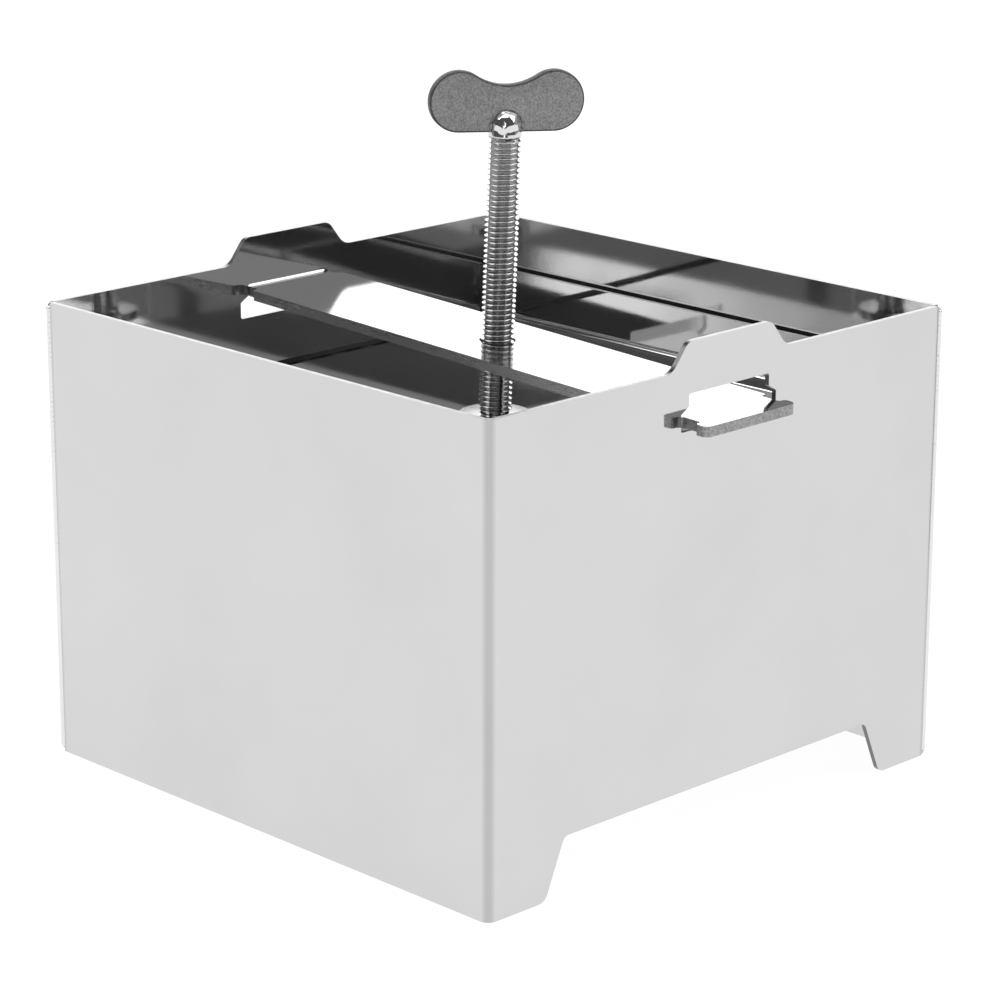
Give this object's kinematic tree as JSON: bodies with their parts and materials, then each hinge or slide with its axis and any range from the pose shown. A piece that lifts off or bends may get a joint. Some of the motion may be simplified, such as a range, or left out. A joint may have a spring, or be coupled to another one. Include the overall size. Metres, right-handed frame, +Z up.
{
  "type": "screw cheese press",
  "caption": "Square sheet-metal cheese mould with a loose crossbar through slotted walls and a wing-handled screw that drives a flanged press plate down.",
  "frame": {"origin": "bottom centre of the square box, at the level its feet rest on", "axes": "+Z up; X runs along the crossbar, whose raised end is at -X; Y runs across it, between the plain walls"},
  "size_m": [0.1614, 0.1508, 0.1697],
  "materials": {
    "sheet": "mirror-polished stainless steel sheet",
    "plate": "mirror-polished stainless steel sheet",
    "bar": "smooth ground stainless steel strip",
    "rod": "bright threaded stainless steel rod",
    "handle": "matte, finely pitted steel",
    "washer": "bright steel",
    "clip": "dark spring steel",
    "weld": "rippled weld bead"
  },
  "bodies": {
    "box": {"front_panel": "sheet", "rear_panel": "sheet", "outer_weld_left": "weld", "outer_weld_right": "weld", "inner_weld_left": "weld", "inner_weld_right": "weld", "drain_floor": "sheet", "floor_tacks": "weld"},
    "bar": {"crossbar": "bar"},
    "keeper": {"retaining_washer": "washer", "retaining_clip": "clip"},
    "plate": {"press_plate": "plate", "thrust_washer": "washer"},
    "screw": {"press_screw": "rod", "wing_handle": "handle", "handle_weld": "weld"}
  },
  "joints": [
    {"name": "crossbar_rock", "type": "hinge", "parent": "box", "child": "bar", "pos_m": [0.0744, 0, 0.0995], "axis": [0, 1, 0], "range_deg": [-2, 0.15]},
    {"name": "press_travel", "type": "slide", "parent": "bar", "child": "keeper", "axis": [0.0384, 0.0087, 0.9992], "range_m": [-0.0425, 0.0075]},
    {"name": "plate_tilt", "type": "hinge", "parent": "keeper", "child": "plate", "pos_m": [0.00055, -0.00017, 0.0849], "axis": [0, 1, 0], "range_deg": [-2, 2]},
    {"name": "screw_spin", "type": "hinge", "parent": "keeper", "child": "screw", "pos_m": [0.0013, 0, 0.10455], "axis": [0.0384, 0.0087, 0.9992], "range_deg": [-12241, 2161]}
  ],
  "couplings": [
    {"joint": "screw_spin", "follows": "press_travel", "rad_per_m": 5026.5}
  ]
}
